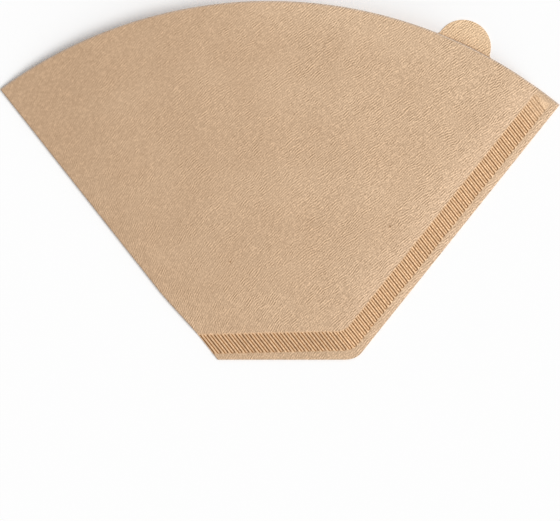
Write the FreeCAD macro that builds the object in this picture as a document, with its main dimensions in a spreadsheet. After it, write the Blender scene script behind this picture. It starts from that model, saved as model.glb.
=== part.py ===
"""Cone-shaped paper coffee filter, lying flat: one sheet, folded once and crimped shut on two edges.

Millimetres. While the paper is shaped, the middle of its bottom edge is at the origin, the mouth
points to +Y, the fold is on the left (-X) and the crimped seam is on the right (+X). The finished
filter is then moved so that the origin is at the middle of its underside.
"""
import FreeCAD, Part
import Sketcher
import math
import os

NODE = "folded_filter"

DIMENSIONS = [
    ("sheet_thickness", 0.2, "one ply of crepe paper"),
    ("bottom_width", 42.2, "bottom edge, between the fold and the seam, as if the corner were sharp"),
    ("fold_lean", 38.24, "degrees of the fold from the vertical"),
    ("seam_lean", 38.64, "degrees of the seam edge from the vertical"),
    ("filter_height", 106.1, "bottom edge to the highest point of the mouth arc"),
    ("mouth_radius", 135.3, "arc of the mouth edge"),
    ("mouth_centre_left", 4.4, "how far the arc's centre is left of the bottom edge's middle"),
    ("corner_radius", 6.0, "rounding where the bottom edge meets the seam edge"),
    ("tab_radius", 8.15, "round pull tab on the lower ply"),
    ("tab_inset", 0.85, "how far the tab's centre is inside the mouth arc"),
    ("tab_angle", 25.2, "degrees of the tab right of the vertical, about the arc's centre"),
    ("hem_margin", 2.3, "plain paper outside the crimped band"),
    ("band_width", 5.8, "crimped band"),
    ("bottom_band_tilt", 1.4, "degrees that the bottom band climbs to the right"),
    ("band_end_gap", 2.1, "plain paper between the last tooth and the mouth edge"),
    ("bottom_tooth_pitch", 1.65, "teeth of the bottom band, measured across them"),
    ("seam_tooth_pitch", 1.549, "teeth of the seam band, measured across them"),
    ("tooth_height", 0.3, "how far a tooth is pressed up"),
    ("tooth_wall", 0.17, "width of a tooth's steep side"),
    ("mouth_bow", 6.5, "rise of the upper ply at the middle of the mouth"),
    ("hem_bow", 0.05, "rise of the upper ply where it leaves the bottom band"),
    ("fold_gap", 0.3, "space inside the fold"),
    ("pressed_strip", 0.8, "plies pressed flat together along the inner side of the band"),
]

# Formulas of the sheet's sizes. A height on the paper is a distance up from the bottom edge.
BAND_INNER = "(sizes.hem_margin + sizes.band_width)"
TILT_ALLOWANCE = "sizes.bottom_width * tan(sizes.bottom_band_tilt)"
PRESSED_INNER = f"({BAND_INNER} + sizes.pressed_strip)"
HEM_STATION = f"({PRESSED_INNER} - {TILT_ALLOWANCE})"
MOUTH_STATION = "(sizes.filter_height + sizes.tab_radius)"
POCKET_END = f"({PRESSED_INNER} + {TILT_ALLOWANCE})"
FOLD_RADIUS = "(sizes.sheet_thickness + sizes.fold_gap / 2)"
MOUTH_CENTRE_Y = "(sizes.filter_height - sizes.mouth_radius)"
TAB_REACH = "(sizes.mouth_radius - sizes.tab_inset)"
CUTTER_HEIGHT = "(sizes.mouth_bow * 4)"
CUTTER_SPAN = "(sizes.mouth_radius * 2)"


def make_sheet(doc):
    """Spreadsheet with one row for each driving dimension."""
    sheet = doc.addObject("Spreadsheet::Sheet", "sizes")
    for row, (alias, size, meaning) in enumerate(DIMENSIONS, start=1):
        sheet.set(f"A{row}", alias)
        sheet.set(f"B{row}", str(size))
        sheet.setAlias(f"B{row}", alias)
        sheet.set(f"C{row}", meaning)
    doc.recompute()
    return sheet


def bind(item, **formulas):
    """Ties properties to formulas; a double underscore in a name stands for a dot."""
    for name, formula in formulas.items():
        item.setExpression(name.replace("__", "."), formula)


def size_of(item, formula):
    """A formula's number, as plain millimetres or degrees."""
    return float(item.evalExpression(formula))


def constrain(sketch, kind, *where, formula=None, name=None):
    """Adds a constraint, and ties it to a formula if it has one."""
    if formula is None:
        return sketch.addConstraint(Sketcher.Constraint(kind, *where))
    size = size_of(sketch, formula)
    if kind == "Angle":
        size = math.radians(size)
    index = sketch.addConstraint(Sketcher.Constraint(kind, *where, size))
    sketch.renameConstraint(index, name)
    sketch.setExpression(f"Constraints.{name}", formula)
    return index


def corner_region(doc, name, offset, tilt):
    """Everything up and left of the bottom edge and the seam edge, both moved in by the offset.

    The corner between the two is round. The bottom line tilts up to the right. The top and the
    left of the region lie well outside the paper.
    """
    sketch = doc.addObject("Sketcher::SketchObject", name)
    far = size_of(sketch, CUTTER_SPAN)
    lean = math.radians(size_of(sketch, "sizes.seam_lean"))
    slope = math.tan(math.radians(size_of(sketch, tilt)))
    half = size_of(sketch, "sizes.bottom_width / 2")
    inset = size_of(sketch, offset)
    radius = size_of(sketch, "sizes.corner_radius")
    seam_slope = 1 / math.tan(lean)
    corner_x = (half * seam_slope - inset / math.sin(lean) + inset) / (seam_slope - slope)
    start_x = corner_x - radius / 2
    end_x = corner_x + radius / 2 * math.sin(lean)
    end_y = inset + radius / 2 * math.cos(lean)
    top = FreeCAD.Vector(end_x + far * math.sin(lean), end_y + far * math.cos(lean), 0)
    left = FreeCAD.Vector(-far, inset - far * slope, 0)
    start = FreeCAD.Vector(start_x, inset + start_x * slope, 0)
    end = FreeCAD.Vector(end_x, end_y, 0)
    centre = FreeCAD.Vector(start_x, start.y + radius, 0)
    circle = Part.Circle(centre, FreeCAD.Vector(0, 0, 1), radius)
    sketch.addGeometry(Part.LineSegment(left, start))
    sketch.addGeometry(Part.ArcOfCircle(circle, -math.pi / 2, -lean))
    sketch.addGeometry(Part.LineSegment(end, top))
    sketch.addGeometry(Part.LineSegment(top, FreeCAD.Vector(-far, top.y, 0)))
    sketch.addGeometry(Part.LineSegment(FreeCAD.Vector(-far, top.y, 0), left))
    sketch.addGeometry(Part.Point(FreeCAD.Vector(0, inset, 0)), True)
    sketch.addGeometry(Part.Point(FreeCAD.Vector(half, 0, 0)), True)
    constrain(sketch, "Tangent", 0, 2, 1, 1)
    constrain(sketch, "Tangent", 1, 2, 2, 1)
    constrain(sketch, "Coincident", 2, 2, 3, 1)
    constrain(sketch, "Coincident", 3, 2, 4, 1)
    constrain(sketch, "Coincident", 4, 2, 0, 1)
    constrain(sketch, "Horizontal", 3)
    constrain(sketch, "Vertical", 4)
    constrain(sketch, "PointOnObject", 5, 1, -2)
    constrain(sketch, "PointOnObject", 6, 1, -1)
    constrain(sketch, "PointOnObject", 5, 1, 0)
    constrain(sketch, "DistanceX", -1, 1, 6, 1, formula="sizes.bottom_width / 2", name="seam_foot")
    if inset > 0:
        constrain(sketch, "DistanceY", -1, 1, 5, 1, formula=offset, name="bottom_offset")
        constrain(sketch, "Distance", 6, 1, 2, formula=offset, name="seam_offset")
        constrain(sketch, "Angle", -1, 1, 0, 1, formula=tilt, name="bottom_tilt")
    else:
        constrain(sketch, "PointOnObject", 5, 1, -1)
        constrain(sketch, "PointOnObject", 6, 1, 2)
        constrain(sketch, "Horizontal", 0)
    constrain(sketch, "Angle", -1, 1, 2, 1, formula="90 - sizes.seam_lean", name="seam_angle")
    constrain(sketch, "Radius", 1, formula="sizes.corner_radius", name="corner")
    constrain(sketch, "DistanceX", 4, 1, -1, 1, formula=CUTTER_SPAN, name="reach_left")
    constrain(sketch, "DistanceY", -1, 1, 2, 2, formula=CUTTER_SPAN, name="reach_up")
    return sketch


def extrude(doc, name, sketch, height, both_ways):
    """Solid made by raising a sketch from its plane, or to both sides of it."""
    solid = doc.addObject("Part::Extrusion", name)
    solid.Base = sketch
    solid.DirMode = "Normal"
    solid.Solid = True
    solid.Symmetric = both_ways
    bind(solid, LengthFwd=height)
    return solid


def cylinder(doc, name, radius, x, y, z, height):
    """Upright cylinder."""
    solid = doc.addObject("Part::Cylinder", name)
    bind(solid, Radius=radius, Height=height)
    bind(solid, Placement__Base__x=x, Placement__Base__y=y, Placement__Base__z=z)
    return solid


def common(doc, name, *shapes):
    """What all the shapes share."""
    result = doc.addObject("Part::MultiCommon", name)
    result.Shapes = list(shapes)
    return result


def cut(doc, name, base, tool):
    """The base without the tool."""
    result = doc.addObject("Part::Cut", name)
    result.Base = base
    result.Tool = tool
    return result


def half_rod(doc, name, radius):
    """Half cylinder along +Y, round towards -X, with its axis where the fold's bend has its own."""
    rod = doc.addObject("Part::Cylinder", name)
    rod.Angle = 180
    rod.Placement.Rotation = FreeCAD.Rotation(
        FreeCAD.Vector(0, 0, -1), FreeCAD.Vector(-1, 0, 0), FreeCAD.Vector(0, 1, 0), "XYZ"
    )
    bind(rod, Radius=radius, Height=CUTTER_SPAN)
    bind(rod, Placement__Base__x=FOLD_RADIUS, Placement__Base__z=FOLD_RADIUS)
    return rod


def fold_bend(doc):
    """Paper of the fold: a half ring in section, leaning with the fold edge."""
    outer = half_rod(doc, "fold_outside", FOLD_RADIUS)
    inner = half_rod(doc, "fold_inside", "sizes.fold_gap / 2")
    bend = cut(doc, "fold_bend", outer, inner)
    bind(
        bend,
        Placement__Base__x="-sizes.bottom_width / 2",
        Placement__Rotation__Angle="sizes.fold_lean",
    )
    return bend


def ply_section(doc, name, station, fold_top, seam_top, seam_end, bow):
    """Cross-section of the bowed paper or of its pocket, upright at a height on the paper.

    A floor under the paper, two upright sides and an arc for the upper ply.
    """
    sketch = doc.addObject("Sketcher::SketchObject", name)
    sketch.Placement = FreeCAD.Placement(FreeCAD.Vector(), FreeCAD.Rotation(FreeCAD.Vector(1, 0, 0), 90))
    bind(sketch, Placement__Base__y=station)
    bend_run = f"{FOLD_RADIUS} / cos(sizes.fold_lean)"
    fold_start = f"(sizes.bottom_width / 2 + {station} * tan(sizes.fold_lean) - {bend_run})"
    seam_run = f"{seam_end} / cos(sizes.seam_lean)"
    seam_stop = f"(sizes.bottom_width / 2 + {station} * tan(sizes.seam_lean) - {seam_run})"
    floor = "sizes.sheet_thickness"
    left = -size_of(sketch, fold_start)
    right = size_of(sketch, seam_stop)
    low = -size_of(sketch, floor)
    left_top = FreeCAD.Vector(left, size_of(sketch, fold_top), 0)
    right_top = FreeCAD.Vector(right, size_of(sketch, seam_top), 0)
    left_foot = FreeCAD.Vector(left, low, 0)
    right_foot = FreeCAD.Vector(right, low, 0)
    middle = (left_top + right_top) / 2
    crown = middle + FreeCAD.Vector(0, size_of(sketch, bow), 0)
    sketch.addGeometry(Part.LineSegment(left_foot, right_foot))
    sketch.addGeometry(Part.LineSegment(right_foot, right_top))
    sketch.addGeometry(Part.Arc(right_top, crown, left_top))
    sketch.addGeometry(Part.LineSegment(left_top, left_foot))
    sketch.addGeometry(Part.Point(middle), True)
    sketch.addGeometry(Part.Point(crown), True)
    constrain(sketch, "Coincident", 0, 2, 1, 1)
    constrain(sketch, "Coincident", 1, 2, 2, 1)
    constrain(sketch, "Coincident", 2, 2, 3, 1)
    constrain(sketch, "Coincident", 3, 2, 0, 1)
    constrain(sketch, "Horizontal", 0)
    constrain(sketch, "Vertical", 1)
    constrain(sketch, "Vertical", 3)
    constrain(sketch, "Symmetric", 2, 1, 2, 2, 4, 1)
    constrain(sketch, "PointOnObject", 5, 1, 2)
    constrain(sketch, "Vertical", 4, 1, 5, 1)
    constrain(sketch, "DistanceX", 0, 1, -1, 1, formula=fold_start, name="fold_side")
    constrain(sketch, "DistanceX", -1, 1, 0, 2, formula=seam_stop, name="seam_side")
    constrain(sketch, "DistanceY", 0, 1, -1, 1, formula=floor, name="floor_drop")
    constrain(sketch, "DistanceY", -1, 1, 3, 1, formula=fold_top, name="fold_top")
    constrain(sketch, "DistanceY", -1, 1, 1, 2, formula=seam_top, name="seam_top")
    constrain(sketch, "DistanceY", 4, 1, 5, 1, formula=bow, name="bow")
    return sketch


def bowed_loft(doc, name, fold_top, seam_top, seam_end):
    """Straight-ruled solid from the bottom band out past the mouth."""
    stations = {"hem": HEM_STATION, "mouth": MOUTH_STATION}
    loft = doc.addObject("Part::Loft", name)
    loft.Sections = [
        ply_section(doc, f"{name}_{end}", station, fold_top, seam_top, seam_end, f"sizes.{end}_bow")
        for end, station in stations.items()
    ]
    loft.Solid = True
    loft.Ruled = True
    return loft


def room(doc, name, front, floor):
    """Wide box towards the mouth from a line across the paper, and up from a level."""
    box = doc.addObject("Part::Box", name)
    bind(box, Length=f"{CUTTER_SPAN} * 2", Width=CUTTER_SPAN, Height=CUTTER_HEIGHT)
    bind(
        box,
        Placement__Base__x=f"-{CUTTER_SPAN}",
        Placement__Base__y=front,
        Placement__Base__z=floor,
    )
    return box


def tooth_wave(doc, sheet):
    """Both plies pressed into teeth that run parallel to the fold, before the band is cut out.

    The upper face and the underside follow the same zigzag of flat crests, steep walls and flat
    troughs, two sheets apart. The zigzag starts at the fold edge. Its first steps, up to where the
    bottom edge meets the seam edge, have the bottom band's pitch and the rest the seam band's.
    """
    lean = math.radians(sheet.fold_lean)
    fold_way = FreeCAD.Vector(-math.sin(lean), math.cos(lean), 0)
    across = FreeCAD.Vector(math.cos(lean), math.sin(lean), 0)
    fold_edge = -sheet.bottom_width / 2 * math.cos(lean)
    corner = -fold_edge
    plies = 2 * sheet.sheet_thickness
    crest = plies + sheet.tooth_height
    wall = sheet.tooth_wall
    upper = []
    place = fold_edge - sheet.bottom_tooth_pitch
    while place < sheet.mouth_radius:
        pitch = sheet.bottom_tooth_pitch if place < corner else sheet.seam_tooth_pitch
        flat = pitch / 2 - wall
        upper.append((place + flat, plies))
        upper.append((place + flat + wall, crest))
        upper.append((place + 2 * flat + wall, crest))
        upper.append((place + pitch, plies))
        place += pitch
    lower = [(x, z - plies) for x, z in reversed(upper)]
    outline = upper + lower + upper[:1]
    points = [across * x + FreeCAD.Vector(0, 0, z) - fold_way * sheet.mouth_radius for x, z in outline]
    face = Part.Face(Part.makePolygon(points))
    wave = doc.addObject("Part::Feature", "tooth_wave")
    wave.Shape = face.extrude(fold_way * 3 * sheet.mouth_radius)
    return wave


def build(doc):
    """The whole filter as one solid."""
    sheet = make_sheet(doc)
    one_ply = "sizes.sheet_thickness"
    two_plies = "sizes.sheet_thickness * 2"
    below = f"-{CUTTER_HEIGHT} / 2"
    centre_x = "-sizes.mouth_centre_left"

    paper_edge = corner_region(doc, "paper_edge", "0", "0")
    band_outer = corner_region(doc, "band_outer", "sizes.hem_margin", "sizes.bottom_band_tilt")
    band_inner = corner_region(doc, "band_inner", BAND_INNER, "sizes.bottom_band_tilt")
    pressed_inner = corner_region(doc, "pressed_inner", PRESSED_INNER, "sizes.bottom_band_tilt")
    paper_edge_prism = extrude(doc, "paper_edge_prism", paper_edge, two_plies, False)
    band_outer_prism = extrude(doc, "band_outer_prism", band_outer, CUTTER_HEIGHT, True)
    band_inner_prism = extrude(doc, "band_inner_prism", band_inner, CUTTER_HEIGHT, True)
    pressed_prism = extrude(doc, "pressed_prism", pressed_inner, CUTTER_HEIGHT, True)

    fold_side = doc.addObject("Part::Box", "fold_side")
    bind(fold_side, Length=CUTTER_SPAN, Width=CUTTER_SPAN, Height=CUTTER_HEIGHT)
    bind(
        fold_side,
        Placement__Base__x="-sizes.bottom_width / 2 + sizes.filter_height * sin(sizes.fold_lean)",
        Placement__Base__y="-sizes.filter_height * cos(sizes.fold_lean)",
        Placement__Base__z=below,
        Placement__Rotation__Angle="sizes.fold_lean",
    )
    mouth_disc = cylinder(
        doc, "mouth_disc", "sizes.mouth_radius", centre_x, MOUTH_CENTRE_Y, below, CUTTER_HEIGHT
    )
    band_disc = cylinder(
        doc,
        "band_disc",
        "sizes.mouth_radius - sizes.band_end_gap",
        centre_x,
        MOUTH_CENTRE_Y,
        below,
        CUTTER_HEIGHT,
    )

    hem_paper = common(doc, "hem_paper", paper_edge_prism, fold_side, mouth_disc)
    hem = cut(doc, "hem", hem_paper, pressed_prism)
    band_paper = common(doc, "band_paper", band_outer_prism, fold_side, band_disc)
    band = cut(doc, "band", band_paper, band_inner_prism)
    plain_hem = cut(doc, "plain_hem", hem, band)
    crimps = common(doc, "crimps", tooth_wave(doc, sheet), band)

    plies = bowed_loft(doc, "plies", f"2 * {FOLD_RADIUS}", two_plies, BAND_INNER)
    pocket = bowed_loft(
        doc, "pocket", f"2 * {FOLD_RADIUS} - {one_ply}", f"{one_ply} / 2", PRESSED_INNER
    )
    above_table = room(doc, "above_table", "0", "0")
    above_lower_ply = room(doc, "above_lower_ply", POCKET_END, one_ply)
    bowed_paper = common(doc, "bowed_paper", plies, above_table, pressed_prism, mouth_disc)
    open_pocket = common(doc, "open_pocket", pocket, above_lower_ply)
    shell = cut(doc, "shell", bowed_paper, open_pocket)
    bend = common(doc, "bend", fold_bend(doc), pressed_prism, mouth_disc)

    tab = cylinder(
        doc,
        "pull_tab",
        "sizes.tab_radius",
        f"{centre_x} + {TAB_REACH} * sin(sizes.tab_angle)",
        f"{MOUTH_CENTRE_Y} + {TAB_REACH} * cos(sizes.tab_angle)",
        "0",
        one_ply,
    )

    paper = doc.addObject("Part::MultiFuse", NODE)
    paper.Shapes = [shell, bend, plain_hem, crimps, tab]
    paper.Refine = True
    paper.Label = NODE
    doc.recompute()
    box = paper.Shape.optimalBoundingBox(False, False)
    paper.Placement = FreeCAD.Placement(
        FreeCAD.Vector(-box.Center.x, -box.Center.y, -box.ZMin), FreeCAD.Rotation()
    )
    return paper


def check(doc, paper):
    """Stops if a step failed or the filter isn't one sound solid."""
    for item in doc.Objects:
        if "Invalid" in item.State or "Error" in item.State:
            raise RuntimeError(f"{item.Name} is {item.State}")
        if hasattr(item, "Shape") and (item.Shape.isNull() or not item.Shape.isValid()):
            raise RuntimeError(f"{item.Name} has no sound shape")
    if len(paper.Shape.Solids) != 1:
        raise RuntimeError(f"the filter is {len(paper.Shape.Solids)} solids")


def main():
    doc = FreeCAD.newDocument("paper_coffee_filter")
    paper = build(doc)
    check(doc, paper)
    os.makedirs("parts", exist_ok=True)
    paper.Shape.exportStep(f"parts/{NODE}.step")
    box = paper.Shape.optimalBoundingBox(False, False)
    print(f"{NODE}: {box.XLength:.2f} x {box.YLength:.2f} x {box.ZLength:.2f} mm")
    print(f"{paper.Shape.Volume:.1f} mm3, {len(paper.Shape.Faces)} faces")


main()
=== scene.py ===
import math

import bpy
import numpy as np
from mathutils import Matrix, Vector


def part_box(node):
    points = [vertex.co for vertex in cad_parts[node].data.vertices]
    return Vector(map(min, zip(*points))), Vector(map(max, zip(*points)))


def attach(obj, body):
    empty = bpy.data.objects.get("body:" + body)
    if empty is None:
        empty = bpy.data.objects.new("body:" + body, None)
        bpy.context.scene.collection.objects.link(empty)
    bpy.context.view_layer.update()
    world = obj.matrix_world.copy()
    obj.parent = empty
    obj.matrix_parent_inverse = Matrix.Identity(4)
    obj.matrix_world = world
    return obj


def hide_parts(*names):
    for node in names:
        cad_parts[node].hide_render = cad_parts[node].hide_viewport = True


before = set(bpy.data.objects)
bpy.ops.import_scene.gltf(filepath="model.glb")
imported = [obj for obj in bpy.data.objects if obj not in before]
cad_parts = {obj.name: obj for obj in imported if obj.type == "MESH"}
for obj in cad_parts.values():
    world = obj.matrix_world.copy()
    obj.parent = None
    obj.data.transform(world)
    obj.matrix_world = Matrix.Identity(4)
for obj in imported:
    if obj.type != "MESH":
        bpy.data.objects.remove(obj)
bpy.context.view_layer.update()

MM = 0.001

# Outline of the sheet.
HALF_BOTTOM = 21.1
FOLD_LEAN = math.radians(38.24)
SEAM_LEAN = math.radians(38.64)
HEIGHT = 106.1
MOUTH_RADIUS = 135.3
MOUTH_CENTRE = np.array([-4.4, HEIGHT - MOUTH_RADIUS])
CORNER_BLEND = 2.7
INSET_BLEND = CORNER_BLEND * 0.8
MEET_RANGE = (100.0, 113.0)
MEET_ROUNDS = 60
ACROSS = np.array([math.cos(FOLD_LEAN), math.sin(FOLD_LEAN)])
ALONG = np.array([-math.sin(FOLD_LEAN), math.cos(FOLD_LEAN)])
SEAM_IN = np.array([-math.cos(SEAM_LEAN), math.sin(SEAM_LEAN)])
FOLD_EDGE = -HALF_BOTTOM * ACROSS[0]

# Pull tab: a circle that stands out of the mouth arc, with a fillet on each side of its root.
TAB_RADIUS = 8.15
TAB_INSET = 0.85
TAB_ANGLE = math.radians(25.2)
TAB_FILLET = 1.2
TAB_RISE = TAB_FILLET + TAB_INSET
TAB_HALF = math.sqrt((TAB_RADIUS + TAB_FILLET) ** 2 - TAB_RISE**2)
TAB_SETTLE = 1.5

# Paper and its bow.
PLY = 0.2
HEM_THICK = 2 * PLY
FOLD_HEIGHT = 0.7
HEM_BOW = 0.05
HEM_BOW_Y = 7.87
MOUTH_BOW = 6.5
MOUTH_BOW_Y = 114.25
BOW_BLEND = 3.0
LEAST_SPAN = 1.0
FOLD_DRIFT = 1.02
DRIFT_LOW = 5.0
DRIFT_HIGH = 21.0

# Slow waves: a seed, the lengths and the amount, then how far from the hem and the fold they reach
# their full size.
TOP_WAVES = (5, (61.0, 47.0, 38.0, 29.0, 23.0), 0.13)
TOP_CALM = 9.0
UNDER_WAVES = (9, (67.0, 51.0, 37.0), 0.12)
UNDER_CALM = 12.0

# Hem, as insets.
MARGIN = 2.3
BAND_INNER = 8.1
STRIP_INNER = 8.9
BAND_TILT = math.tan(math.radians(1.4))

# Teeth: each has a wall that rises and, half a pitch on, one that falls.
FIRST_WALL = -15.16
BOTTOM_PITCH = 1.6505
BOTTOM_TEETH = 19
SEAM_PITCH = 1.549
SEAM_TEETH = 59
SEAM_DRIFT = 0.34
WALL_HALF = 0.2
TOOTH_HEIGHT = 0.3
TOOTH_SEED = 41
END_SPREAD = 0.07
GAIN_SPREAD = 0.07
NO_TOOTH = -9.0
HALVES_BLEND = 0.8
SIDE_BLEND = 0.25

# How the teeth change along the hem. From the seam's start they open less into the pocket, and near
# the mouth they sink and then end.
SEAM_START = 14.0
SEAM_BLEND = 6.0
SINK = 0.45
SINK_START = 98.0
SINK_BLEND = 9.0
BAND_END = 1.2
BAND_END_BLEND = 1.6
LIP_HEIGHT = 0.16
LIP_START = MARGIN - 0.75
LIP_BLEND = 0.9
LIP_RISE = 1.1
OPENING_LOSS = 0.75
OPENING_BLEND = 1.0

# Painted wall shade and painted flat highlight of the crimped band: its ends, as insets, with how
# they shift by the seam, and the walls.
OUTER_END = MARGIN - 0.35
OUTER_SHIFT = 0.12
OUTER_BLEND = 0.5
INNER_END = BAND_INNER + 0.35
INNER_SHIFT = 0.3
INNER_BLEND = 0.6
WALL_SHADE_WIDTH = 0.165
WALL_END = 8.25
WALL_SHIFT = 0.2
# Strength of the walls' painted shade: on walls that rise, and on walls that fall by the bottom and
# by the seam.
LEFT_WALL = 1.12
BOTTOM_RIGHT_WALL = 1.15
SEAM_RIGHT_WALL = 0.97
OUTER_LOOP = 0.35
INNER_LOOP = 0.6
# Painted highlight on the teeth's flats, weaker by the bottom except at their inner tips.
TIP_START = WALL_END - 0.6
TIP_BLEND = 0.5
TIP_LIGHT = 0.4
BOTTOM_LIGHT = 0.64
MARGIN_PRESSED = 0.4

# Pale paper on both sides of the crimped band.
PALE = 0.8
PALE_REACH = 4.5
PALE_BLEND = 0.6
PALE_MARGIN = 0.9
PALE_MARGIN_BLEND = 1.0
BOTTOM_PALE = 0.15
SEAM_PALE_BLEND = 10.0


def ease(x):
    """Smooth step from 0 to 1."""
    x = np.clip(x, 0.0, 1.0)
    return x * x * (3.0 - 2.0 * x)


def rise(x, start, width):
    """Smooth step up over a width from a start."""
    return ease((x - start) / width)


def fall(x, end, width):
    """Smooth step down over a width to an end."""
    return ease((end - x) / width)


def cross(x, width):
    """Smooth step up over a width with zero in its middle."""
    return ease(x / width + 0.5)


def bell(x, width):
    """1 at zero, and less with distance from it."""
    return np.exp(-((x / width) ** 2))


def between(low, high, share):
    """Value at a share of the way from one to another."""
    return low + (high - low) * share


def smooth_max(a, b, k):
    """Larger of two, rounded where they cross."""
    near = np.maximum(k - np.abs(a - b), 0.0) / k
    return np.maximum(a, b) + near * near * k / 4.0


def place(w, t):
    """x and y of a place given across and along."""
    return w * ACROSS[0] + t * ALONG[0], w * ACROSS[1] + t * ALONG[1]


def hem_line(w, inset):
    """Along, where a line that keeps an inset crosses a column."""
    tilt = BAND_TILT * np.minimum(inset / MARGIN, 1.0)
    bottom = (inset - w * (ACROSS[1] - ACROSS[0] * tilt)) / (ALONG[1] - ALONG[0] * tilt)
    seam = (inset + SEAM_IN[0] * HALF_BOTTOM - w * (SEAM_IN @ ACROSS)) / (SEAM_IN @ ALONG)
    return smooth_max(bottom, seam, CORNER_BLEND)


def inset_of(w, t):
    """Inset of a place."""
    x, y = place(w, t)
    bottom = y - x * BAND_TILT
    seam = SEAM_IN[0] * (x - HALF_BOTTOM) + SEAM_IN[1] * y
    return -smooth_max(-bottom, -seam, INSET_BLEND)


def mouth_line(w):
    """Along, where the mouth arc crosses a column."""
    return MOUTH_CENTRE @ ALONG + np.sqrt(MOUTH_RADIUS**2 - (w - MOUTH_CENTRE @ ACROSS) ** 2)


def mouth_gap(w, t):
    """Distance inside the mouth arc."""
    x, y = place(w, t)
    return MOUTH_RADIUS - np.hypot(x - MOUTH_CENTRE[0], y - MOUTH_CENTRE[1])


def arc_meets(inset):
    """Across, where a line that keeps an inset meets the mouth arc, found by halving."""
    low, high = MEET_RANGE
    for _ in range(MEET_ROUNDS):
        middle = (low + high) / 2
        if mouth_line(middle) > hem_line(middle, inset):
            low = middle
        else:
            high = middle
    return low


# Where each tooth's wall rises, each tooth's pitch, and how the teeth differ.
count = np.arange(SEAM_TEETH)
bottom_teeth = BOTTOM_PITCH * np.arange(BOTTOM_TEETH)
seam_teeth = SEAM_PITCH * count + SEAM_DRIFT * np.sin(math.pi * count / SEAM_TEETH)
first_seam_tooth = FIRST_WALL + BOTTOM_PITCH * BOTTOM_TEETH
rising = np.concatenate([FIRST_WALL + bottom_teeth, first_seam_tooth + seam_teeth])
pitches = np.append(np.diff(rising), SEAM_PITCH)
random = np.random.default_rng(TOOTH_SEED)
end_shift = random.normal(0.0, END_SPREAD, (2, len(rising)))
tooth_gain = random.normal(1.0, GAIN_SPREAD, len(rising))


def tooth_field(w, t):
    """Where a place lies among the teeth.

    Ridges are open to the margin and closed at the inner end. The grooves between them are closed
    at the margin and open to the pocket's side. The five values are the distance into a ridge with
    its round ends, the same without them, the tooth's own gain, the share of the band's inner half,
    and 1 by a wall that rises or 0 by one that falls.
    """
    k = np.clip(np.searchsorted(rising, w + pitches[0] / 4) - 1, 0, len(rising) - 1)
    best_ridge = np.full(w.shape, NO_TOOTH)
    best_groove = np.full(w.shape, NO_TOOTH)
    straight = np.full(w.shape, NO_TOOTH)
    for step in (-1, 0, 1):
        n = np.clip(k + step, 0, len(rising) - 1)
        half = pitches[n] / 4
        ridge = rising[n] + half
        groove = rising[n] - half
        inner = hem_line(ridge, BAND_INNER) + end_shift[0][n] - half
        outer = hem_line(groove, MARGIN) + end_shift[1][n] + half
        reach = half - np.hypot(w - ridge, np.maximum(t - inner, 0.0))
        depth = half - np.hypot(w - groove, np.maximum(outer - t, 0.0))
        best_ridge = np.maximum(best_ridge, reach)
        best_groove = np.maximum(best_groove, depth)
        straight = np.maximum(straight, half - np.abs(w - ridge))
    middle = (hem_line(w, BAND_INNER) + hem_line(w, MARGIN)) / 2
    inner_share = cross(t - middle, HALVES_BLEND)
    field = best_ridge * inner_share - best_groove * (1.0 - inner_share)
    facing_left = cross(pitches[k] / 4 - np.abs(w - rising[k]), SIDE_BLEND)
    return field, straight, tooth_gain[k], inner_share, facing_left


def crimp(w, t):
    """Height of the crimped hem over the flat paper, and its painted wall shade, painted flat
    highlight and pressed shares.
    """
    field, straight, gain, inner_share, facing_left = tooth_field(w, t)
    inset = inset_of(w, t)
    by_seam = rise(w, SEAM_START, SEAM_BLEND)
    fade = rise(mouth_gap(w, t), BAND_END, BAND_END_BLEND)
    fade = fade * (1.0 - SINK * rise(w, SINK_START, SINK_BLEND))

    lip = between(LIP_HEIGHT, 1.0, rise(inset, LIP_START, LIP_BLEND))
    lip = np.where(inset < MARGIN, lip * ease(inset / MARGIN * LIP_RISE), lip)
    opening = rise(inset, BAND_INNER - OPENING_BLEND, OPENING_BLEND)
    opening = 1.0 - by_seam * OPENING_LOSS * opening
    height = TOOTH_HEIGHT * gain * fade * lip * opening * cross(field, 2 * WALL_HALF)

    past_outer = rise(inset, OUTER_END + OUTER_SHIFT * by_seam, OUTER_BLEND)
    before_inner = fall(inset, INNER_END - INNER_SHIFT * by_seam, INNER_BLEND)
    loop = (1.0 - inner_share) * between(OUTER_LOOP, 1.0, by_seam)
    loop = loop + inner_share * INNER_LOOP * by_seam
    # Mask of the painted shade on the teeth's walls.
    wall = between(bell(straight, WALL_SHADE_WIDTH), bell(field, WALL_SHADE_WIDTH), loop)
    wall_end = fall(inset, WALL_END - WALL_SHIFT * by_seam, INNER_BLEND)
    wall = wall * fade * past_outer * wall_end
    right_wall = between(BOTTOM_RIGHT_WALL, SEAM_RIGHT_WALL, by_seam)
    # Painted shade on the teeth's walls, with its own strength on walls that rise and on walls that
    # fall.
    dark = wall * between(right_wall, LEFT_WALL, facing_left)
    tip = rise(inset, TIP_START, TIP_BLEND) * cross(straight, WALL_HALF)
    flats = between(BOTTOM_LIGHT, 1.0, np.maximum(by_seam, TIP_LIGHT * tip))
    # Painted highlight on the teeth's flats, kept off the walls and beyond the band's ends.
    light = past_outer * before_inner * fade * (1.0 - wall) * flats
    pressed = before_inner * between(MARGIN_PRESSED, 1.0, past_outer)
    return height, dark, light, pressed


def seam_pale(w, t):
    """How much paler the paper is beside the crimped band, most by the seam."""
    inset = inset_of(w, t)
    inside = PALE * np.exp(-np.maximum(inset - BAND_INNER, 0.0) / PALE_REACH)
    inside = inside * rise(inset, BAND_INNER - PALE_BLEND, PALE_BLEND)
    outside = PALE * (1.0 - rise(inset, PALE_MARGIN, PALE_MARGIN_BLEND))
    return between(BOTTOM_PALE, 1.0, rise(w, SEAM_START, SEAM_PALE_BLEND)) * (inside + outside)


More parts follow.
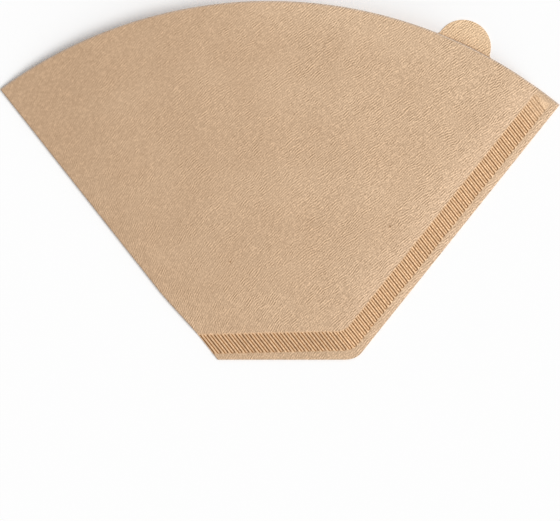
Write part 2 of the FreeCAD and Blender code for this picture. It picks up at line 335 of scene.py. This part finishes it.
def waves(x, y, seed, lengths, amount):
    """Slow ups and downs of the paper, as a sum of a few plane waves."""
    draw = np.random.default_rng(seed)
    total = np.zeros_like(x)
    for length in lengths:
        angle = draw.uniform(0, math.pi)
        phase = draw.uniform(0, 2 * math.pi)
        total += np.sin((x * math.cos(angle) + y * math.sin(angle)) * 2 * math.pi / length + phase)
    return amount * total / math.sqrt(len(lengths))


def calm(w, t, reach):
    """0 at the hem and the fold, which hold the paper still, and 1 from a distance on."""
    return rise(inset_of(w, t), STRIP_INNER, reach) * rise(w, FOLD_EDGE, reach)


def bow_rise(w, t):
    """Rise of the upper ply over the pressed hem, before the crimps and the slow waves."""
    x, y = place(w, t)
    left = -(HALF_BOTTOM + y * math.tan(FOLD_LEAN) - FOLD_HEIGHT / 2 / math.cos(FOLD_LEAN))
    right = HALF_BOTTOM + y * math.tan(SEAM_LEAN) - BAND_INNER / math.cos(SEAM_LEAN)
    share = np.clip((x - left) / np.maximum(right - left, LEAST_SPAN), 0.0, 1.0)
    bow = HEM_BOW + (MOUTH_BOW - HEM_BOW) * (y - HEM_BOW_Y) / (MOUTH_BOW_Y - HEM_BOW_Y)
    arch = np.maximum(bow, 0.0) * 4.0 * share * (1.0 - share)
    slope = (FOLD_HEIGHT - HEM_THICK) * (1.0 - share)
    return (arch + slope) * rise(inset_of(w, t), BAND_INNER, BOW_BLEND)


def top_of(w, t):
    """Height of the upper face."""
    slow = calm(w, t, TOP_CALM) * waves(*place(w, t), *TOP_WAVES)
    return HEM_THICK + bow_rise(w, t) + crimp(w, t)[0] + slow


def under_of(w, t):
    """Height of the underside."""
    return crimp(w, t)[0] + calm(w, t, UNDER_CALM) * np.abs(waves(*place(w, t), *UNDER_WAVES))


# Columns, each at one distance across. The first five go round the fold and the next three take up
# the fold's drift. Each half of a tooth then has four on its wall and one on its flat. The last
# ones lead to the mouth arc's crossings with the strip's inner line, where the pocket ends, and
# with the paper's edge.
FOLD_COLUMNS = 5
SLACK_COLUMNS = 3
INNER_FOLD = 3
WALL_STEPS = WALL_HALF * np.array([-1.0, -0.33, 0.33, 1.0])
FLAT_COLUMN = len(WALL_STEPS)
POCKET_END_ROOM = 0.8
POCKET_END_STEPS = np.array([0.5, 0.0])
CORNER_STEPS = np.array([1.7, 1.25, 0.85, 0.5, 0.22, 0.0])
fold_turn = np.linspace(0.0, math.pi / 2, FOLD_COLUMNS)
pocket_corner = arc_meets(STRIP_INNER)
tooth_columns = []
for tooth, pitch in zip(rising, pitches):
    tooth_columns += [tooth + step for step in WALL_STEPS] + [tooth + pitch / 4]
    tooth_columns += [tooth + pitch / 2 + step for step in WALL_STEPS] + [tooth + pitch * 3 / 4]
tooth_columns = [w for w in tooth_columns if w < pocket_corner - POCKET_END_ROOM]
end_columns = [*(pocket_corner - POCKET_END_STEPS), *(arc_meets(0.0) - CORNER_STEPS)]
steady = np.array(tooth_columns + end_columns)
first_tooth = FOLD_COLUMNS + SLACK_COLUMNS
column_count = first_tooth + len(steady)
pocket_end = first_tooth + len(tooth_columns) + 1

# Rows of the hem, as insets, close together at the two ends of the teeth.
hem_rows = [0.0, 0.5, 1.0, 1.5, 1.9]
hem_rows += [*np.linspace(2.12, 3.02, 8), 3.5, 4.4, 5.2, 6.0, 6.8, 7.25]
hem_rows += [*np.linspace(7.5, 8.35, 8), 8.6, STRIP_INNER]
hem_count = len(hem_rows)

# Rows of the plies, as shares of the way from the strip's inner line to the mouth arc.
BODY_ROWS = 54
ROW_SHIFT = 0.05
body_shares = np.linspace(0.0, 1.0, BODY_ROWS + 1)[1:]
body_shares = body_shares + ROW_SHIFT * np.sin(2 * math.pi * body_shares)

# First guesses of the rows' places along, and how often they are worked out again.
HEM_GUESS = np.linspace(20.0, 21.0, hem_count)
BODY_GUESS = np.linspace(30.0, 100.0, BODY_ROWS)
SETTLE_ROUNDS = 6


def tab_outline(share):
    """Distance along the mouth arc and beyond it, at a share of the tab's outline."""
    lean = math.atan2(TAB_RISE, TAB_HALF)
    fillet_run = TAB_FILLET * (math.pi / 2 - lean)
    round_run = TAB_RADIUS * (math.pi - 2 * lean)
    run = share * (2 * fillet_run + round_run)
    if run < fillet_run:
        turn = -math.pi / 2 + run / TAB_FILLET
        return -TAB_HALF + TAB_FILLET * math.cos(turn), TAB_FILLET + TAB_FILLET * math.sin(turn)
    if run < fillet_run + round_run:
        turn = math.pi - lean - (run - fillet_run) / TAB_RADIUS
        return TAB_RADIUS * math.cos(turn), -TAB_INSET + TAB_RADIUS * math.sin(turn)
    turn = math.pi + lean + (run - fillet_run - round_run) / TAB_FILLET
    return TAB_HALF + TAB_FILLET * math.cos(turn), TAB_FILLET + TAB_FILLET * math.sin(turn)


def by_tab(w):
    """Whether a column meets the mouth arc at the tab."""
    x, y = place(w, mouth_line(w))
    turn = np.arctan2(x - MOUTH_CENTRE[0], y - MOUTH_CENTRE[1])
    return abs((turn - TAB_ANGLE) * MOUTH_RADIUS) <= TAB_HALF


# The plies keep only some of the hem's columns: those of the fold and on the teeth's flats, all by
# the tab, and the one where the pocket ends.
tab_columns = [i for i in range(first_tooth, pocket_end) if by_tab(steady[i - first_tooth])]
flat_columns = range(first_tooth + FLAT_COLUMN, pocket_end - 2, FLAT_COLUMN + 1)
keep = sorted({*range(first_tooth), *flat_columns, *tab_columns, pocket_end})
tab_first = keep.index(tab_columns[0])
tab_last = keep.index(tab_columns[-1])
keep_count = len(keep)


def fold_place(t):
    """Across and radius of the fold's outside at a distance along."""
    y = place(FOLD_EDGE, t)[1]
    edge = FOLD_EDGE + FOLD_DRIFT * (1.0 - rise(y, DRIFT_LOW, DRIFT_HIGH - DRIFT_LOW))
    radius = (HEM_THICK + bow_rise(edge + FOLD_HEIGHT / 2, t)) / 2
    return edge, radius


def column_across(i, t):
    """Across, of a column at distances along."""
    if i >= first_tooth:
        return np.full_like(t, steady[i - first_tooth])
    edge, radius = fold_place(t)
    if i < FOLD_COLUMNS:
        return edge + radius * (1.0 - math.cos(fold_turn[i]))
    share = (i - FOLD_COLUMNS + 1) / (SLACK_COLUMNS + 1)
    return (edge + radius) * (1.0 - share) + steady[0] * share


def hem_along(i, w):
    """Along, of a column's hem rows, drawn together where the mouth arc cuts the hem short."""
    lines = np.array([hem_line(across, inset) for across, inset in zip(w, hem_rows)])
    if i < pocket_end:
        return lines
    start = hem_line(w[0], 0.0)
    end = mouth_line(w[-1])
    return start + (lines - start) * (end - start) / (lines[-1] - start)


def body_along(i, w):
    """Along, of a column's rows in the plies."""
    start = hem_line(w, STRIP_INNER)
    return start + (mouth_line(w) - start) * body_shares


def settle(i, along, rows_along):
    """Across and along of a column's rows, which depend on each other by the fold."""
    for _ in range(SETTLE_ROUNDS):
        across = column_across(i, along)
        along = rows_along(i, across)
    return across, along


def heights(i, across, along):
    """Heights of a column's upper face and underside."""
    if i < FOLD_COLUMNS:
        radius = fold_place(along)[1]
        swing = radius * math.sin(fold_turn[i])
        return radius + swing, radius - swing
    return top_of(across, along), under_of(across, along)


# Vertices, each with its shares for the material.
SHARES = ("wall_painted_shade", "tooth_painted_highlight", "pressed", "tab_painted_light", "seam_pale")
PLAIN = (0.0, 0.0, 0.0, 0.0, 0.0)
# Shares of the tab, which gets a painted light as if lit through its single ply.
TAB_PAINTED_LIGHT_SHARES = (0.0, 0.0, 0.0, 1.0, 0.0)
points = []
shades = []


def add(x, y, z, shade=PLAIN):
    """New vertex, with its shares in the order of their names."""
    points.append((x, y, z))
    shades.append(shade)
    return len(points) - 1


def layer(ws, ts, zs, hem_shares=None):
    """Vertices of one column, and their numbers."""
    zero = np.zeros_like(ws)
    shares = zip(*(hem_shares or (zero, zero, zero)), zero, seam_pale(ws, ts))
    return [add(x, y, z, share) for x, y, z, share in zip(*place(ws, ts), zs, shares)]


upper_hem, lower_hem, upper_body, lower_body, ceiling, lining = [], [], [], [], [], []
for i in range(column_count):
    across, along = settle(i, HEM_GUESS, hem_along)
    if i == column_count - 1:
        x, y = place(across[0], along[0])
        upper_hem.append([add(x, y, HEM_THICK)] * hem_count)
        lower_hem.append([add(x, y, 0.0)] * hem_count)
        continue
    high, low = heights(i, across, along)
    hem_shares = crimp(across, along)[1:]
    upper_hem.append(layer(across, along, high, hem_shares))
    lower_hem.append(upper_hem[0] if i == 0 else layer(across, along, low, hem_shares))

for c, i in enumerate(keep):
    edge_up = upper_hem[i][-1]
    edge_low = lower_hem[i][-1]
    middle = None
    if i >= INNER_FOLD:
        x, y, z_high = points[edge_up]
        middle = add(x, y, (z_high + points[edge_low][2]) / 2)
    if i == pocket_end:
        for columns, end in ((upper_body, edge_up), (lower_body, edge_low)):
            columns.append([end] * (BODY_ROWS + 1))
        for columns in (ceiling, lining):
            columns.append([middle] * (BODY_ROWS + 1))
        continue
    across, along = settle(i, BODY_GUESS, body_along)
    high, low = heights(i, across, along)
    upper_body.append([edge_up] + layer(across, along, high))
    lower_body.append(upper_body[0] if i == 0 else [edge_low] + layer(across, along, low))
    if i < INNER_FOLD:
        ceiling.append(None)
        lining.append(None)
    elif i == INNER_FOLD:
        ceiling.append([middle] + layer(across, along, fold_place(along)[1]))
        lining.append(ceiling[-1])
    else:
        ceiling.append([middle] + layer(across, along, high - PLY))
        lining.append([middle] + layer(across, along, low + PLY))

faces = []


def face(*corners):
    """Adds a polygon, with corners that fall together taken once."""
    ring = [p for n, p in enumerate(corners) if p != corners[n - 1]]
    if len(ring) > 2:
        faces.append(ring)


def skin(columns, rows, upwards):
    """Quads over a grid of vertex numbers."""
    for left, right in zip(columns[:-1], columns[1:]):
        for j in range(rows):
            quad = (left[j], right[j], right[j + 1], left[j + 1])
            face(*(quad if upwards else quad[::-1]))


skin(upper_hem, hem_count - 1, True)
skin(lower_hem, hem_count - 1, False)
for c in range(keep_count - 1):
    a, b = keep[c], keep[c + 1]
    strip_up = [upper_hem[i][-1] for i in range(a, b + 1)]
    strip_low = [lower_hem[i][-1] for i in range(a, b + 1)]
    face(*strip_up, upper_body[c + 1][1], upper_body[c][1])
    face(*reversed([*strip_low, lower_body[c + 1][1], lower_body[c][1]]))
skin([column[1:] for column in upper_body], BODY_ROWS - 1, True)
skin([column[1:] for column in lower_body], BODY_ROWS - 1, False)
skin(ceiling[INNER_FOLD:], BODY_ROWS, False)
skin(lining[INNER_FOLD:], BODY_ROWS, True)

# Cut edges: the hem's outer edge, then the mouth, where the plies part.
for i in range(column_count - 1):
    face(upper_hem[i + 1][0], upper_hem[i][0], lower_hem[i][0], lower_hem[i + 1][0])
for c in range(keep_count - 1):
    up, up_next = upper_body[c][-1], upper_body[c + 1][-1]
    low, low_next = lower_body[c][-1], lower_body[c + 1][-1]
    if c + 1 < INNER_FOLD:
        face(up, up_next, low_next, low)
    elif c + 1 == INNER_FOLD:
        face(up, up_next, ceiling[c + 1][-1], low_next, low)
    else:
        face(up, up_next, ceiling[c + 1][-1], ceiling[c][-1])
        if not tab_first <= c < tab_last:
            face(lining[c][-1], lining[c + 1][-1], low_next, low)
for i in range(pocket_end, column_count - 1):
    ring = [upper_hem[i][-1], upper_hem[i + 1][-1], lower_hem[i + 1][-1], lower_hem[i][-1]]
    if i == pocket_end:
        ring.append(lining[-1][-1])
    face(*ring)

# Pull tab, from the lower ply's mouth edge outwards.
TAB_ROWS = 12
tab_top, tab_under = [], []
for c in range(tab_first, tab_last + 1):
    root_top, root_under = lining[c][-1], lower_body[c][-1]
    if c in (tab_first, tab_last):
        tab_top.append([root_top] * (TAB_ROWS + 1))
        tab_under.append([root_under] * (TAB_ROWS + 1))
        continue
    run, beyond = tab_outline((c - tab_first) / (tab_last - tab_first))
    turn = TAB_ANGLE + run / MOUTH_RADIUS
    rim = MOUTH_CENTRE + (MOUTH_RADIUS + beyond) * np.array([math.sin(turn), math.cos(turn)])
    root = np.array(points[root_under][:2])
    low = points[root_under][2]
    top_column, under_column = [root_top], [root_under]
    for j in range(1, TAB_ROWS + 1):
        x, y = root + (rim - root) * j / TAB_ROWS
        z = low * (1.0 - ease(j / TAB_ROWS * TAB_SETTLE))
        top_column.append(add(x, y, z + PLY, TAB_PAINTED_LIGHT_SHARES))
        under_column.append(add(x, y, z, TAB_PAINTED_LIGHT_SHARES))
    tab_top.append(top_column)
    tab_under.append(under_column)
skin(tab_top, TAB_ROWS, True)
skin(tab_under, TAB_ROWS, False)
for c in range(tab_last - tab_first):
    face(tab_top[c][-1], tab_top[c + 1][-1], tab_under[c + 1][-1], tab_under[c][-1])

# From the layout's millimetres to metres in the object's frame.
SHARP_ANGLE = math.radians(60)
left_tip = place(FOLD_EDGE, mouth_line(FOLD_EDGE))[0]
low_corner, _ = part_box("folded_filter")
shift = np.array([low_corner.x / MM - left_tip, low_corner.y / MM, 0.0])
coordinates = (np.array(points) + shift) * MM
mesh = bpy.data.meshes.new("filter_sheet")
mesh.from_pydata(coordinates.tolist(), [], faces)
mesh.update()
mesh.polygons.foreach_set("use_smooth", [True] * len(mesh.polygons))
mesh.set_sharp_from_angle(angle=SHARP_ANGLE)
for name, values in zip(SHARES, zip(*shades)):
    mesh.attributes.new(name, "FLOAT", "POINT").data.foreach_set("value", values)
paper = bpy.data.objects.new("filter_sheet", mesh)
bpy.context.scene.collection.objects.link(paper)


class Nodes:
    """Short ways to add and join a material's nodes."""

    # The Mix node's sockets for colours, by number, because their names aren't theirs alone.
    MIX_SHARE, MIX_FIRST, MIX_SECOND, MIX_RESULT = 0, 6, 7, 2

    def __init__(self, material):
        material.use_nodes = True
        self.tree = material.node_tree
        self.shader = self.tree.nodes["Principled BSDF"]

    def feed(self, socket, source):
        """Joins a source to a socket, or sets the socket to a value."""
        if isinstance(source, bpy.types.NodeSocket):
            self.tree.links.new(source, socket)
        else:
            socket.default_value = source

    def math(self, operation, a, b=0.0):
        step = self.tree.nodes.new("ShaderNodeMath")
        step.operation = operation
        self.feed(step.inputs[0], a)
        self.feed(step.inputs[1], b)
        return step.outputs[0]

    def plus(self, a, b):
        return self.math("ADD", a, b)

    def minus(self, a, b):
        return self.math("SUBTRACT", a, b)

    def times(self, a, b):
        return self.math("MULTIPLY", a, b)

    def vector(self, operation, a, b):
        step = self.tree.nodes.new("ShaderNodeVectorMath")
        step.operation = operation
        self.feed(step.inputs[0], a)
        self.feed(step.inputs[1], b)
        return step

    def axes(self, vector):
        """A vector's X and Y."""
        step = self.tree.nodes.new("ShaderNodeSeparateXYZ")
        self.feed(step.inputs[0], vector)
        return step.outputs["X"], step.outputs["Y"]

    def ramp(self, source, low, high, start, stop, smooth=True):
        """Maps low..high to start..stop, and holds the ends."""
        step = self.tree.nodes.new("ShaderNodeMapRange")
        step.interpolation_type = "SMOOTHSTEP" if smooth else "LINEAR"
        for socket, source_value in zip(step.inputs, (source, low, high, start, stop)):
            self.feed(socket, source_value)
        return step.outputs[0]

    def near(self, source, middle, full, end):
        """1 within a distance of a middle, and 0 from a larger one on."""
        away = self.math("ABSOLUTE", self.minus(source, middle))
        return self.ramp(away, full, end, 1.0, 0.0)

    def noise(self, coordinates, scale, detail=2.0, roughness=0.5, distortion=0.0, move=0.0):
        """Noise stretched by a scale for each axis."""
        spread = self.tree.nodes.new("ShaderNodeMapping")
        spread.inputs["Scale"].default_value = scale
        spread.inputs["Location"].default_value = (move, move, move)
        self.feed(spread.inputs["Vector"], coordinates)
        grain = self.tree.nodes.new("ShaderNodeTexNoise")
        grain.inputs["Scale"].default_value = 1.0
        grain.inputs["Detail"].default_value = detail
        grain.inputs["Roughness"].default_value = roughness
        grain.inputs["Distortion"].default_value = distortion
        self.feed(grain.inputs["Vector"], spread.outputs["Vector"])
        return grain.outputs["Fac"]

    def share(self, name):
        """A value that the mesh carries."""
        step = self.tree.nodes.new("ShaderNodeAttribute")
        step.attribute_name = name
        return step.outputs["Fac"]

    def tint(self, color, share, by):
        """A colour multiplied by another, by a share."""
        step = self.tree.nodes.new("ShaderNodeMix")
        step.data_type = "RGBA"
        step.blend_type = "MULTIPLY"
        self.feed(step.inputs[self.MIX_SHARE], share)
        self.feed(step.inputs[self.MIX_FIRST], color)
        self.feed(step.inputs[self.MIX_SECOND], by)
        return step.outputs[self.MIX_RESULT]


# Wrinkles: each set's slant, pitch and place in the noise. The sets bend together by the fold.
WRINKLE_SETS = [(math.radians(-8.0), 0.69, 0.0), (math.radians(7.0), 0.63, 47.0)]
WRINKLE_HEIGHT = 0.72
BEND = 6.0
BEND_REACH = 20.0
SWAY = 2.2
SWAY_SCALE = (0.22, 0.15, 0.2)
GROUP_SCALE = (0.36, 1.1, 0.3)
GROUP_MOVE = 11.0
GROUP_RAMP = (0.40, 0.62, 0.12, 1.0)

# Crepe's level over the sheet, strong by the seam and weak by the fold, and its finer parts.
LEVEL = 0.86
LEVEL_ACROSS = 0.0045
LEVEL_ALONG = -0.0065
PATCH_SCALE = (0.1, 0.14, 0.1)
PATCH_RAMP = (0.36, 0.62, 0.6, 1.2)
LEAST_LEVEL = 0.12
MOST_LEVEL = 1.1
PRESSED_LEVEL = 0.12
SPECKLE = 2.7
SPECKLE_SCALE = (3.0, 2.1, 0.6)
BLOTCH = 1.6
BLOTCH_SCALE = (1.0, 1.2, 0.6)
NOISE_MIDDLE = 0.5
BUMP_DEPTH = 0.00007

# Colours of the paper, then what multiplies them.
# Ends of the paper's tone ramp, which carries its mottling, the pale place at the mouth, and a
# painted light growing to the right.
DARK_PAPER = (0.553, 0.370, 0.230, 1.0)
PALE_PAPER = (0.648, 0.456, 0.297, 1.0)
# Painted highlight on the wrinkles' crests and painted shade in the valleys between them.
CREST_HIGHLIGHT = (1.56, 1.56, 1.56, 1.0)
VALLEY_SHADE = (0.74, 0.70, 0.65, 1.0)
SHARE_TINTS = {
    "seam_pale": (1.18, 1.20, 1.25, 1.0),
    # Painted highlight on the teeth's flats.
    "tooth_painted_highlight": (1.60, 1.56, 1.47, 1.0),
    # Brown painted shade on the teeth's walls.
    "wall_painted_shade": (0.33, 0.16, 0.0, 1.0),
    # Painted light on the tab, as if lit through its single ply.
    "tab_painted_light": (1.24, 1.26, 1.23, 1.0),
}
RIM = (0.90, 0.98, 1.14, 1.0)
# Painted shadow line on the tab, along and just outside the upper ply's mouth edge.
RIM_SHADOW = (0.84, 0.78, 0.72, 1.0)
FLECK = (0.55, 0.45, 0.36, 1.0)

# Where the colours change, in millimetres: half the width over which the paper grows paler to the
# right, a painted light as if from the right, the pale place at the mouth, and the two thin lines:
# a greyish one just inside the mouth arc, and a painted shadow just outside it on the tab.
SIDE_REACH = 75.0
MOUTH_PALE = 0.45
MOUTH_PALE_REACH = 14.0
MOUTH_PALE_MIDDLE = 25.0
MOUTH_PALE_FULL = 15.0
MOUTH_PALE_END = 45.0
RIM_PLACE = (0.15, 0.1, 0.45)
RIM_SHADOW_PLACE = (-0.15, 0.05, 0.35)
SPECK_SCALE = 0.07
SPECK_RAMP = (0.014, 0.034, 0.8, 0.0)
MOTTLE_SCALE = (0.06, 0.06, 0.06)


def wrinkle_lines(nodes, grain):
    """Groups of short parallel lines in two slants."""
    over, up = nodes.axes(grain)
    bend = nodes.math("EXPONENT", nodes.times(over, -1.0 / BEND_REACH))
    bent = nodes.plus(up, nodes.times(bend, BEND))
    sets = []
    for slant, pitch, move in WRINKLE_SETS:
        turns_over = nodes.times(over, -math.sin(slant) / pitch)
        turns_up = nodes.times(bent, math.cos(slant) / pitch)
        sway = nodes.noise(grain, SWAY_SCALE, detail=1.0, move=move)
        turns = nodes.plus(nodes.plus(turns_over, turns_up), nodes.times(sway, SWAY))
        lines = nodes.math("SINE", nodes.times(turns, 2 * math.pi))
        group = nodes.noise(grain, GROUP_SCALE, detail=1.0, distortion=0.3, move=move + GROUP_MOVE)
        sets.append(nodes.times(lines, nodes.ramp(group, *GROUP_RAMP)))
    return nodes.plus(*sets)


def crepe_height(nodes, grain):
    """Height of the crepe: wrinkles, speckle and blotches."""
    over, up = nodes.axes(grain)
    lines = wrinkle_lines(nodes, grain)
    blotch = nodes.noise(grain, BLOTCH_SCALE, roughness=0.6, move=31.0)
    speckle = nodes.noise(grain, SPECKLE_SCALE, 1.0, roughness=0.6, distortion=0.2, move=61.0)
    patches = nodes.noise(grain, PATCH_SCALE, roughness=0.6, move=3.0)
    level = nodes.plus(nodes.times(over, LEVEL_ACROSS), nodes.times(up, LEVEL_ALONG))
    level = nodes.math("MAXIMUM", nodes.plus(level, LEVEL), LEAST_LEVEL)
    level = nodes.math("MINIMUM", level, MOST_LEVEL)
    strength = nodes.times(level, nodes.ramp(patches, *PATCH_RAMP))
    pressed = nodes.ramp(nodes.share("pressed"), 0.0, 1.0, 1.0, PRESSED_LEVEL)
    strength = nodes.times(strength, pressed)
    wrinkle = nodes.times(nodes.times(lines, strength), WRINKLE_HEIGHT)
    speckle = nodes.times(nodes.minus(speckle, NOISE_MIDDLE), nodes.times(level, SPECKLE))
    blotch = nodes.times(nodes.minus(blotch, NOISE_MIDDLE), nodes.minus(BLOTCH, level))
    return nodes.plus(nodes.plus(wrinkle, speckle), blotch)


def paper_color(nodes, millimetres, grain, height):
    """Colour of the paper.

    It has slow mottling and is paler at the mouth and beside the crimped band, most by the seam.
    It also grows paler to the right, a painted light as if from the right. The wrinkles carry a
    painted highlight on their crests and painted shade between them, the teeth's walls a brown
    painted shade and their flats a painted highlight, and the tab a painted light as if lit through
    its single ply. A thin greyish line follows the mouth edge just inside it, a painted shadow line
    lies just outside it on the tab, and a few specks are strewn over it all.
    """
    sideways, _ = nodes.axes(millimetres)
    flat = nodes.vector("MULTIPLY", millimetres, (1.0, 1.0, 0.0)).outputs[0]
    from_centre = nodes.vector("DISTANCE", flat, (*MOUTH_CENTRE, 0.0)).outputs["Value"]
    gap = nodes.minus(MOUTH_RADIUS, from_centre)
    mottle = nodes.noise(grain, MOTTLE_SCALE, detail=3.0, roughness=0.6, move=7.0)
    # Painted light: the paper grows paler to the right, as if lit from the right.
    painted_sidelight = nodes.ramp(sideways, -SIDE_REACH, SIDE_REACH, -0.5, 0.5, smooth=False)
    by_mouth = nodes.ramp(gap, 0.0, MOUTH_PALE_REACH, MOUTH_PALE, 0.0)
    in_middle = nodes.near(sideways, MOUTH_PALE_MIDDLE, MOUTH_PALE_FULL, MOUTH_PALE_END)
    by_mouth = nodes.times(by_mouth, in_middle)
    tone = nodes.tree.nodes.new("ShaderNodeValToRGB")
    for element, position, color in zip(
        tone.color_ramp.elements, (0.0, 1.0), (DARK_PAPER, PALE_PAPER)
    ):
        element.position = position
        element.color = color
    nodes.feed(tone.inputs["Fac"], nodes.plus(nodes.plus(painted_sidelight, mottle), by_mouth))
    color = tone.outputs["Color"]
    # Painted highlight on the crests and painted shade in the valleys.
    color = nodes.tint(color, nodes.ramp(height, 0.0, 1.0, 0.0, 1.0, smooth=False), CREST_HIGHLIGHT)
    color = nodes.tint(color, nodes.ramp(height, 0.0, -1.0, 0.0, 1.0, smooth=False), VALLEY_SHADE)
    for name, by in SHARE_TINTS.items():
        color = nodes.tint(color, nodes.share(name), by)
    color = nodes.tint(color, nodes.near(gap, *RIM_PLACE), RIM)
    # Painted shadow line along and just outside the mouth edge, on the tab.
    color = nodes.tint(color, nodes.near(gap, *RIM_SHADOW_PLACE), RIM_SHADOW)
    specks = nodes.tree.nodes.new("ShaderNodeTexVoronoi")
    specks.inputs["Scale"].default_value = SPECK_SCALE
    nodes.feed(specks.inputs["Vector"], grain)
    return nodes.tint(color, nodes.ramp(specks.outputs["Distance"], *SPECK_RAMP), FLECK)


def paper_material():
    """Matte crepe paper with short fine wrinkles that run across the fold's direction."""
    material = bpy.data.materials.new("crepe_paper")
    nodes = Nodes(material)
    nodes.shader.inputs["Roughness"].default_value = 0.85
    nodes.shader.inputs["Specular IOR Level"].default_value = 0.25
    where = nodes.tree.nodes.new("ShaderNodeTexCoord").outputs["Object"]
    millimetres = nodes.vector("MULTIPLY", where, (1000.0, 1000.0, 1000.0)).outputs[0]
    millimetres = nodes.vector("SUBTRACT", millimetres, tuple(shift)).outputs[0]
    turned = nodes.tree.nodes.new("ShaderNodeMapping")
    turned.inputs["Rotation"].default_value = (0.0, 0.0, -FOLD_LEAN)
    nodes.feed(turned.inputs["Vector"], millimetres)
    grain = turned.outputs["Vector"]
    height = crepe_height(nodes, grain)
    bump = nodes.tree.nodes.new("ShaderNodeBump")
    bump.inputs["Strength"].default_value = 1.0
    bump.inputs["Distance"].default_value = BUMP_DEPTH
    nodes.feed(bump.inputs["Height"], height)
    nodes.feed(nodes.shader.inputs["Normal"], bump.outputs["Normal"])
    color = paper_color(nodes, millimetres, grain, height)
    nodes.feed(nodes.shader.inputs["Base Color"], color)
    return material


paper.data.materials.append(paper_material())
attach(paper, "root")
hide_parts("folded_filter")

# Floor, a hair below the paper.
FLOOR_HALF = 2.5
FLOOR_Z = -0.00002
FLOOR_WHITE = (0.985, 0.985, 0.985, 1.0)
floor_corners = [
    (x * FLOOR_HALF, y * FLOOR_HALF, FLOOR_Z) for x, y in ((-1, -1), (1, -1), (1, 1), (-1, 1))
]
floor_mesh = bpy.data.meshes.new("floor")
floor_mesh.from_pydata(floor_corners, [], [(0, 1, 2, 3)])
floor = bpy.data.objects.new("floor", floor_mesh)
bpy.context.scene.collection.objects.link(floor)
floor_material = bpy.data.materials.new("floor")
floor_material.use_nodes = True
floor_shader = floor_material.node_tree.nodes["Principled BSDF"]
floor_shader.inputs["Base Color"].default_value = FLOOR_WHITE
floor_shader.inputs["Roughness"].default_value = 1.0
floor_shader.inputs["Specular IOR Level"].default_value = 0.0
floor_mesh.materials.append(floor_material)

# Light: soft daylight from the right, and an even glow from all round.
SUN_RISE = math.radians(44.0)
SUN_TURN = math.radians(2.0)
SUN_WIDTH = math.radians(34.0)
SUN_STRENGTH = 1.95
GLOW = (0.57, 0.57, 0.57, 1.0)
sun_data = bpy.data.lights.new("sun", "SUN")
sun_data.energy = SUN_STRENGTH
sun_data.angle = SUN_WIDTH
sun = bpy.data.objects.new("sun", sun_data)
bpy.context.scene.collection.objects.link(sun)
from_sun = Vector(
    (
        math.cos(SUN_RISE) * math.cos(SUN_TURN),
        math.cos(SUN_RISE) * math.sin(SUN_TURN),
        math.sin(SUN_RISE),
    )
)
sun.rotation_euler = from_sun.to_track_quat("Z", "Y").to_euler()
world = bpy.data.worlds.new("world")
bpy.context.scene.world = world
world.use_nodes = True
world.node_tree.nodes["Background"].inputs["Color"].default_value = GLOW

# Camera: straight down from far above.
PIXELS_PER_MM = 3.377
IMAGE_WIDTH = 560
LENS = 1000.0
SENSOR_WIDTH = 36.0
VIEW_END = 10.0
VIEW_Y = -0.0237
camera_height = LENS * IMAGE_WIDTH / SENSOR_WIDTH / PIXELS_PER_MM * MM
camera_data = bpy.data.cameras.new("camera")
camera_data.lens = LENS
camera_data.sensor_width = SENSOR_WIDTH
camera_data.clip_end = VIEW_END
camera = bpy.data.objects.new("camera", camera_data)
camera.location = (0.0, VIEW_Y, camera_height)
bpy.context.scene.collection.objects.link(camera)
bpy.context.scene.camera = camera
bpy.context.scene.view_settings.view_transform = "Standard"
